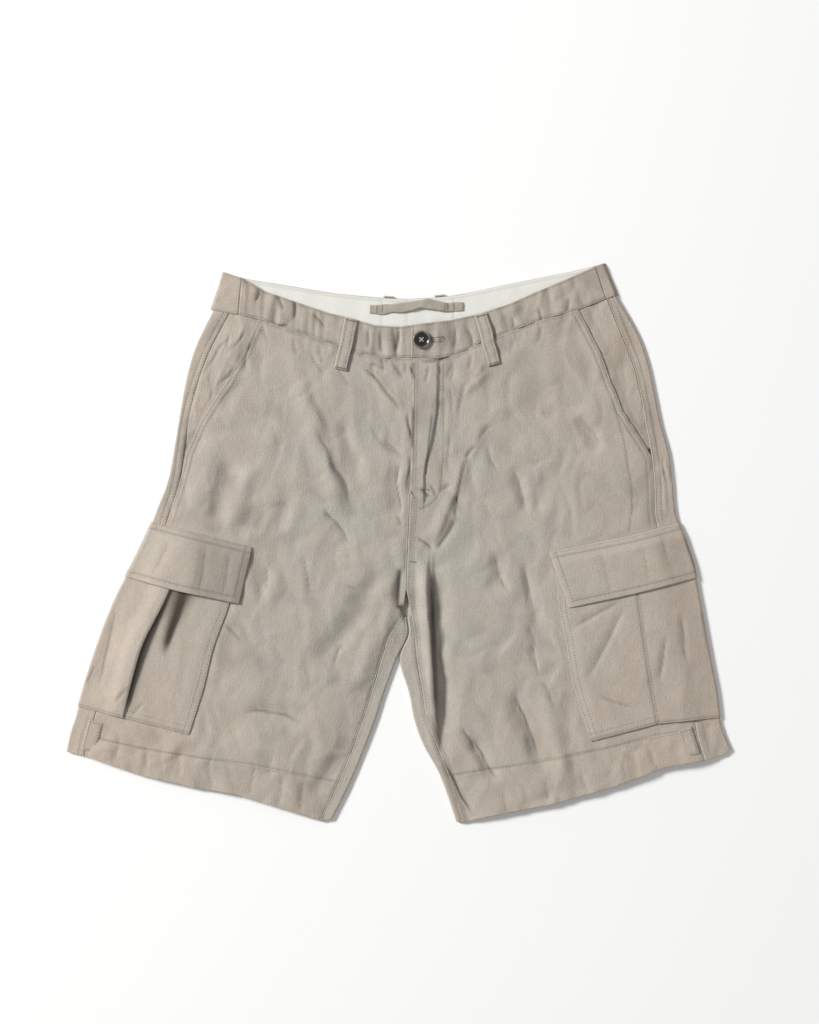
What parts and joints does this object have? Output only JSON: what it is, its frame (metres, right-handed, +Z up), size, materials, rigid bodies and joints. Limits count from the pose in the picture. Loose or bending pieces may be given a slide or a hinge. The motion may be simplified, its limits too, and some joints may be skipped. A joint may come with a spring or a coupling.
{
  "type": "cargo shorts",
  "caption": "Linen cargo shorts lying flat, front up, with slash pockets, flapped cargo pockets on both legs, belt loops, a buttoned waistband and turned hems.",
  "frame": {"origin": "centre of the garment's outline, on the surface it lies on", "axes": "+X from the wearer's right leg to the left leg, +Y from the hems up to the waist, +Z up from the surface, so the garment's front faces +Z"},
  "size_m": [0.7343, 0.6171, 0.0171],
  "materials": {
    "linen": "stone-beige slubbed linen, washed, matt",
    "facing": "off-white plain-woven cotton facing inside the back waistband",
    "tape": "self-fabric hanger tape, folded and edge-stitched",
    "button": "polished black four-hole button"
  },
  "bodies": {
    "root": {"front_right": "linen", "front_left": "linen", "back_right": "linen", "back_left": "linen", "pocket_facing_right": "linen", "pocket_facing_left": "linen", "waistband_right": "linen", "waistband_left": "linen", "waistband_back": "linen", "waistband_facing": "facing", "cargo_pocket_right": "linen", "cargo_pocket_left": "linen", "cargo_flap_right": "linen", "cargo_flap_left": "linen", "belt_loop_right": "linen", "belt_loop_left": "linen", "belt_loop_back_right": "linen", "belt_loop_back_left": "linen", "hanger_loop": "tape", "hem_tab_right": "linen", "hem_tab_left": "linen", "button": "button"}
  },
  "joints": []
}
